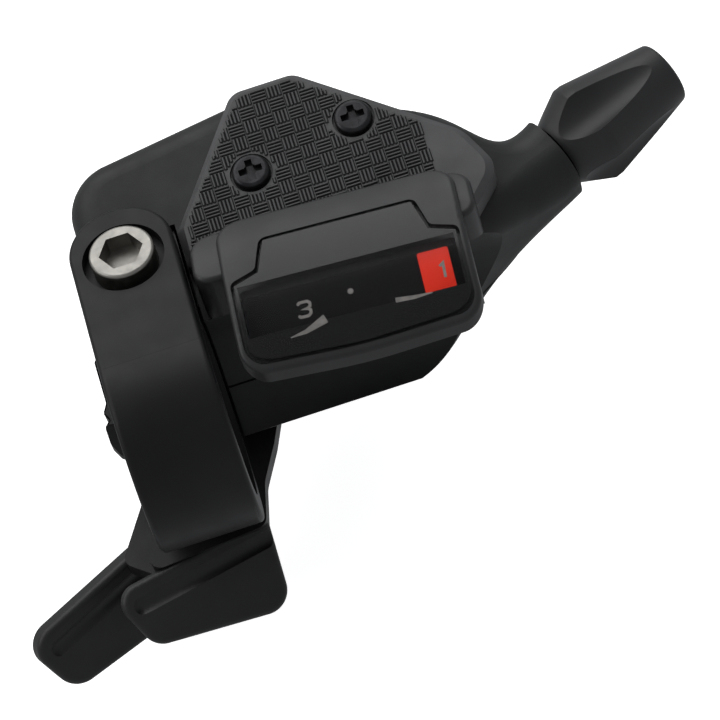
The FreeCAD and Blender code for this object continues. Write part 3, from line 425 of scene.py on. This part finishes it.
# Black print just under the face of the window, all round the clear strip over the dial.
# Each field is given as (v, half width) from the rider's side forwards.
PRINT_DEPTH = 0.05
PRINT_THICKNESS = 0.03
PRINT_STEP = 0.4
PRINT_HALF = 14.05
CLEAR_HALF = 13.7
CLEAR_REAR = -7.2
CLEAR_FRONT = -0.3
PRINT_REAR = [(-10.6, 1.0), (-10.3, 7.2), (-10.1, 11.0), (-9.9, 12.2), (-9.3, 13.4), (-8.4, PRINT_HALF),
              (CLEAR_REAR, PRINT_HALF)]
PRINT_FRONT = [(CLEAR_FRONT, PRINT_HALF), (0.02, PRINT_HALF), (1.2, 10.75), (6.05, 9.45)]


def slab(mesh, rows):
    """Thin curved plate through rows of (v, left, right) under the face of the window."""
    fine = [rows[0]]
    for before, after in zip(rows, rows[1:]):
        steps = math.ceil((after[0] - before[0]) / PRINT_STEP)
        fine += [[a + (b - a) * i / steps for a, b in zip(before, after)] for i in range(1, steps + 1)]
    rings = []
    for v, left, right in fine:
        corners = [(left, 0), (right, 0), (right, PRINT_THICKNESS), (left, PRINT_THICKNESS)]
        rings.append([mesh.verts.new(display_point(u, v, PRINT_DEPTH + down)) for u, down in corners])
    closed_skin(mesh, rings)


def window_print(mesh):
    """Front and rear fields of the print, joined by a strip at each end."""
    slab(mesh, [(v, -half, half) for v, half in PRINT_REAR])
    slab(mesh, [(v, -half, half) for v, half in PRINT_FRONT])
    slab(mesh, [(v, -PRINT_HALF, -CLEAR_HALF) for v in (CLEAR_REAR, CLEAR_FRONT)])
    slab(mesh, [(v, CLEAR_HALF, PRINT_HALF) for v in (CLEAR_REAR, CLEAR_FRONT)])


piece("window_print", window_print, PRINT, "body")

# Parting line between the housing and its lower cover, looked for from outside towards a point in the middle
SEAM_CENTRE = (24.0, 18.0)
SEAM_REACH = 120.0
SEAM_STEPS = 720
SEAM_HEIGHT = 0.3
SEAM_PROUD = 0.03
SEAM_SINK = 0.15
# Points further apart than this are not joined, and a wall that turns away more than this cosine is left out
SEAM_JUMP = 1.6
SEAM_FACING = 0.2
SEAM_WELD = 0.001


def seam_points():
    """Points round the lower cover's outer wall, just under the parting line, with the way out at each."""
    tree = solid_tree("lower_cover")
    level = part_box("lower_cover")[1][2] / MM - SEAM_HEIGHT / 2
    found = []
    for i in range(SEAM_STEPS):
        turn = 2 * math.pi * i / SEAM_STEPS
        way = Vector((math.cos(turn), math.sin(turn), 0))
        start = Vector((SEAM_CENTRE[0], SEAM_CENTRE[1], level)) + way * SEAM_REACH
        hit, normal = tree.ray_cast(start * MM, -way)[:2]
        if hit is not None and normal.dot(way) > SEAM_FACING:
            found.append((hit / MM, Vector((normal.x, normal.y, 0)).normalized()))
    return found


def seam_ring(mesh, spot, out):
    """Section of the parting line's strip at one point of the wall."""
    half = SEAM_HEIGHT / 2
    corners = [(-SEAM_SINK, -half), (SEAM_PROUD, -half), (SEAM_PROUD, half), (-SEAM_SINK, half)]
    return [mesh.verts.new(spot + out * s + Vector((0, 0, t))) for s, t in corners]


def parting_line(mesh):
    """Thin dark strip set into the wall along the parting line."""
    points = seam_points()
    for here, ahead in zip(points, points[1:] + points[:1]):
        if (ahead[0] - here[0]).length <= SEAM_JUMP:
            walls(mesh, [seam_ring(mesh, *here), seam_ring(mesh, *ahead)])
    bmesh.ops.remove_doubles(mesh, verts=mesh.verts, dist=SEAM_WELD)


piece("parting_line", parting_line, SHADOW, "body")

# Skin over the narrow slit that the mechanism space leaves in the front shoulder of the housing
SHOULDER_X = (31.9, 40.8)
SHOULDER_LOW = 2.25
SHOULDER_HIGH = 3.35
SHOULDER_COLUMNS = 30
SHOULDER_ROWS = 8
SHOULDER_AHEAD = 60.0
SKIN_PROUD = 0.012
SKIN_THICKNESS = 0.2


def shoulder_curve(tree, x):
    """Smooth curve over the slit at one X, from the wall below it to the wall above it."""
    ends = []
    for level in (SHOULDER_LOW, SHOULDER_HIGH):
        hit, normal = tree.ray_cast(Vector((x, SHOULDER_AHEAD, level)) * MM, Vector((0, -1, 0)))[:2]
        ends.append((hit / MM, normal, Vector((0, -normal.z, normal.y)).normalized()))
    (low, low_out, low_up), (high, high_out, high_up) = ends
    span = (high - low).length
    curve = []
    for i in range(SHOULDER_ROWS + 1):
        t = i / SHOULDER_ROWS
        spot = (low * (2 * t ** 3 - 3 * t ** 2 + 1) + low_up * span * (t ** 3 - 2 * t ** 2 + t)
                + high * (3 * t ** 2 - 2 * t ** 3) + high_up * span * (t ** 3 - t ** 2))
        curve.append((spot, low_out.lerp(high_out, t).normalized()))
    return curve


def shoulder_skin(mesh):
    """Thin closed plate, its outside flush with the housing."""
    tree = solid_tree("upper_housing")
    rings = []
    for i in range(SHOULDER_COLUMNS + 1):
        x = SHOULDER_X[0] + (SHOULDER_X[1] - SHOULDER_X[0]) * i / SHOULDER_COLUMNS
        curve = shoulder_curve(tree, x)
        outside = [spot + out * SKIN_PROUD for spot, out in curve]
        inside = [spot - out * SKIN_THICKNESS for spot, out in curve]
        rings.append([mesh.verts.new(place) for place in outside + inside[::-1]])
    walls(mesh, rings)
    for ring in (rings[0], rings[-1]):
        for j in range(SHOULDER_ROWS):
            mesh.faces.new((ring[j], ring[j + 1], ring[-2 - j], ring[-1 - j]))


skin = piece("shoulder_skin", shoulder_skin, NYLON, "body")
for facet in skin.data.polygons:
    facet.use_smooth = True

# View of the photograph: degrees above the level and of roll, then metres, and the point aimed at in
# millimetres to the right and up the picture before the roll
VIEW_RISE = 63.0
VIEW_ROLL = 18.0
VIEW_DISTANCE = 0.5
VIEW_WIDTH = 0.09
VIEW_NEAR = 0.01
AIM_RIGHT = 24.15
AIM_UP = 0.97
SENSOR = 36.0


def camera():
    """Camera on the rider's side, rolled so the bar climbs to the right as in the photograph."""
    rise = math.radians(VIEW_RISE)
    lean = math.radians(VIEW_ROLL)
    right = Vector((1, 0, 0))
    up = Vector((0, math.sin(rise), math.cos(rise)))
    back = Vector((0, -math.cos(rise), math.sin(rise)))
    right_axis = right * math.cos(lean) - up * math.sin(lean)
    up_axis = right * math.sin(lean) + up * math.cos(lean)
    matrix = Matrix((right_axis, up_axis, back)).transposed().to_4x4()
    matrix.translation = (right * AIM_RIGHT + up * AIM_UP) * MM + back * VIEW_DISTANCE
    data = bpy.data.cameras.new("camera")
    data.sensor_width = SENSOR
    data.lens = SENSOR * VIEW_DISTANCE / VIEW_WIDTH
    data.clip_start = VIEW_NEAR
    made = bpy.data.objects.new("camera", data)
    made.matrix_world = matrix
    bpy.context.scene.collection.objects.link(made)
    bpy.context.scene.camera = made


# Studio in metres: a lit board, so that the part casts almost no shadow, soft panels and a dim room
FLOOR_GAP = 0.002
FLOOR_HALF = 3.0
FLOOR_GLOW = 0.75
WORLD_GLOW = 0.5
PANEL_TARGET = Vector((0.024, 0.01, 0.0))


def panel(name, place, size, power):
    """Soft panel light aimed at the part."""
    data = bpy.data.lights.new(name, "AREA")
    data.shape = "RECTANGLE"
    data.size = size[0]
    data.size_y = size[1]
    data.energy = power
    made = bpy.data.objects.new(name, data)
    made.location = place
    made.rotation_euler = (PANEL_TARGET - Vector(place)).to_track_quat("-Z", "Y").to_euler()
    bpy.context.scene.collection.objects.link(made)


def pale_floor():
    """Pale board a little below the part."""
    ground = cad_box[0][2] - FLOOR_GAP
    corners = [(x * FLOOR_HALF, y * FLOOR_HALF, ground) for x, y in ((-1, -1), (1, -1), (1, 1), (-1, 1))]
    data = bpy.data.meshes.new("floor")
    data.from_pydata(corners, [], [(0, 1, 2, 3)])
    floor = bpy.data.objects.new("floor", data)
    bpy.context.scene.collection.objects.link(floor)
    # Painted board: even and matt, lit from within so that it stays near white
    data.materials.append(surface("floor_pale_board", "#f1f1f1", "#f5f5f5", 60, (0.8, 0.9), 4, 0.01,
                                  Emission_Color=linear("#ffffff"), Emission_Strength=FLOOR_GLOW))
    floor.visible_glossy = False


def room():
    """Even grey-white light from all round."""
    world = bpy.data.worlds.new("studio")
    bpy.context.scene.world = world
    world.use_nodes = True
    back = world.node_tree.nodes["Background"]
    back.inputs["Color"].default_value = linear("#f2f4f6")
    back.inputs["Strength"].default_value = WORLD_GLOW
    bpy.context.scene.view_settings.view_transform = "Standard"


camera()
pale_floor()
panel("sky", (-0.12, 0.62, 0.5), (1.1, 0.7), 5.2)
panel("key", (-0.6, 0.12, 0.4), (0.3, 0.3), 1.1)
room()
